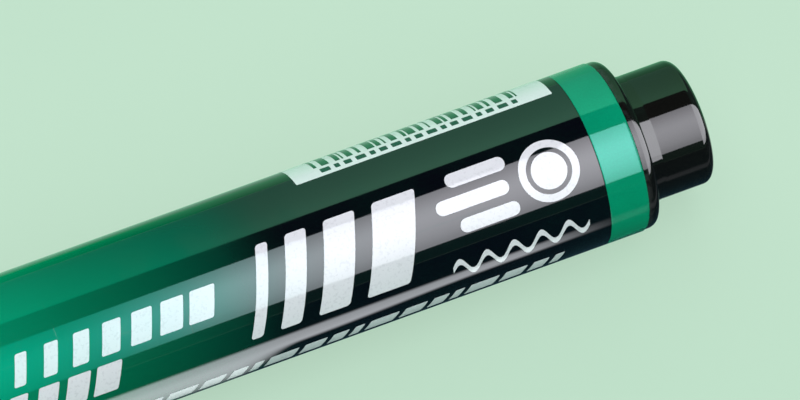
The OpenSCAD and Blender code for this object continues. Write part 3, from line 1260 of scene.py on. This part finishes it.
def make_world(colour, zenith_colour, edge_low, edge_high):
    """Green surroundings up to a height in degrees, dark overhead."""
    world = bpy.data.worlds.new("studio")
    tree, surface = fresh_nodes(world, "ShaderNodeOutputWorld")
    background = tree.nodes.new("ShaderNodeBackground")
    _, _, z = split_axes(tree, place_in(tree, "Generated"))
    height = add_range(tree, z, *(math.sin(math.radians(edge)) for edge in (edge_low, edge_high)))
    feed(tree, mix_colours(tree, height, colour, zenith_colour), background.inputs["Color"])
    feed(tree, background.outputs["Background"], surface)
    bpy.context.scene.world = world


def lay_plane(name, size, place):
    """A level square with a material of its own, and that material's tree and surface."""
    bpy.ops.object.select_all(action="DESELECT")
    bpy.ops.mesh.primitive_plane_add(size=size, location=place)
    plane = bpy.context.object
    plane.name = name
    bpy.ops.object.transform_apply(location=True, rotation=True, scale=True)
    material = bpy.data.materials.new(name)
    plane.data.materials.append(material)
    return plane, *fresh_nodes(material)


def make_floor(colour, far_colour, shine_share):
    """Plain pale floor: part of its colour is its own, and the rest takes light and shadow."""
    floor, tree, surface = lay_plane("floor", floor_w, (0, 0, 0))
    diffuse = tree.nodes.new("ShaderNodeBsdfDiffuse")
    glow = tree.nodes.new("ShaderNodeEmission")
    mottle = add_range(tree, add_noise(tree, 7.0), 0.4, 0.62)
    tint = mix_colours(tree, mottle, colour, far_colour)
    feed(tree, tint, diffuse.inputs["Color"])
    feed(tree, tint, glow.inputs["Color"])
    rays = tree.nodes.new("ShaderNodeLightPath").outputs
    seen = add_math(tree, "MAXIMUM", rays["Is Camera Ray"], rays["Is Glossy Ray"])
    seen = add_math(tree, "MAXIMUM", seen, rays["Is Transmission Ray"])
    blend = tree.nodes.new("ShaderNodeMixShader")
    feed(tree, add_math(tree, "MULTIPLY", seen, shine_share), blend.inputs["Fac"])
    feed(tree, diffuse.outputs["BSDF"], blend.inputs[1])
    feed(tree, glow.outputs["Emission"], blend.inputs[2])
    feed(tree, blend.outputs["Shader"], surface)


def make_floor_card(name, side):
    """A square card on the floor, in front of the marker (-1) or behind it (1), that only gloss shows: it
    glows though it is no lamp, and paints a reflection into the marker's gloss.
    """
    place = (view_x, side * (floor_card_w / 2 + floor_card_gap), floor_card_lift)
    card, tree, surface = lay_plane(name, floor_card_w, place)
    # Painted reflection: the card glows in the gloss only, lights nothing and casts no shadow
    glow = tree.nodes.new("ShaderNodeEmission")
    feed(tree, glow.outputs["Emission"], surface)
    along, away, _ = split_axes(tree, place_in(tree))
    card.visible_camera = False
    card.visible_diffuse = False
    card.visible_transmission = False
    card.visible_shadow = False
    return tree, glow, along, away


def make_front_card():
    """Dark card with a pale glowing strip, wide and soft towards the front, narrow and even behind: the dark
    part is painted shade in the marker's reflection of the floor, and the strip a painted reflection of a
    light.
    """
    tree, glow, along, away = make_floor_card("front_reflection_card", -1)
    far_edge = -20 * MM
    far_blur = 3.5 * MM
    near_edge = -15.4 * MM
    wide_end = -6 * MM
    narrow_end = -13.2 * MM
    drift = 2.2 * MM
    x_wide = x_rim - 44 * MM
    x_narrow = x_rim - 36 * MM
    x_drifted = x_rim - 14 * MM
    x_bright = x_rim - 13 * MM
    x_weak = x_rim + 0.5 * MM
    bright_level = 5.3
    weak_level = 0.35
    # Painted shade and painted reflection: the dark colour darkens what the gloss shows of the floor, and
    # the pale strip glows as a light
    dark = (0.02, 0.055, 0.075)
    pale = (0.90, 0.94, 1.0)
    past_far = add_range(tree, away, far_edge - far_blur, far_edge)
    fade_end = add_range(tree, along, x_wide, x_narrow, wide_end, narrow_end)
    drifted = add_math(tree, "ADD", away, add_range(tree, along, x_narrow, x_drifted, 0.0, drift))
    before_near = add_range(tree, drifted, near_edge, fade_end, 1.0, 0.0)
    strip = add_math(tree, "MULTIPLY", past_far, before_near)
    level = add_range(tree, along, x_bright, x_weak, bright_level, weak_level)
    glare = add_math(tree, "MULTIPLY", strip, level)
    feed(tree, mix_colours(tree, glare, dark, pale), glow.inputs["Color"])
    feed(tree, add_math(tree, "MAXIMUM", glare, 1.0), glow.inputs["Strength"])


def make_rear_card():
    """Glowing mint card, a painted reflection of green surroundings along the top of the marker: purer green
    towards the front of the marker, darker behind it and pale close to it.
    """
    tree, glow, along, away = make_floor_card("rear_reflection_card", 1)
    sideways = -0.25
    near_edge = 24 * MM
    near_end = 50 * MM
    plug_share = 0.25
    # Painted reflection: these glowing colours show only in the marker's gloss
    deep = (0.0, 0.70, 0.22)
    pale = (0.23, 0.85, 0.42)
    dim = (0.13, 0.52, 0.25)
    close_colour = (0.36, 0.74, 0.50)
    seen_x = add_math(tree, "ADD", along, add_math(tree, "MULTIPLY", away, sideways))
    stops = [(-61, deep), (-52, deep), (-38, pale), (-8, pale), (0, dim), (9, dim)]
    colour = colour_by_place(tree, seen_x, stops)
    near = add_range(tree, away, near_edge, near_end, 1.0, 0.0)
    before_plug = add_range(tree, seen_x, x_rim - 8 * MM, x_rim + 2 * MM, 1.0, plug_share)
    close = add_math(tree, "MULTIPLY", near, before_plug)
    feed(tree, mix_colours(tree, close, colour, close_colour), glow.inputs["Color"])


make_world((0.05, 0.165, 0.125), (0.02, 0.02, 0.02), edge_low=61, edge_high=66)
make_floor((0.545, 0.760, 0.597), (0.520, 0.738, 0.578), shine_share=0.76)
make_front_card()
make_rear_card()

bpy.context.scene.view_settings.view_transform = "Standard"
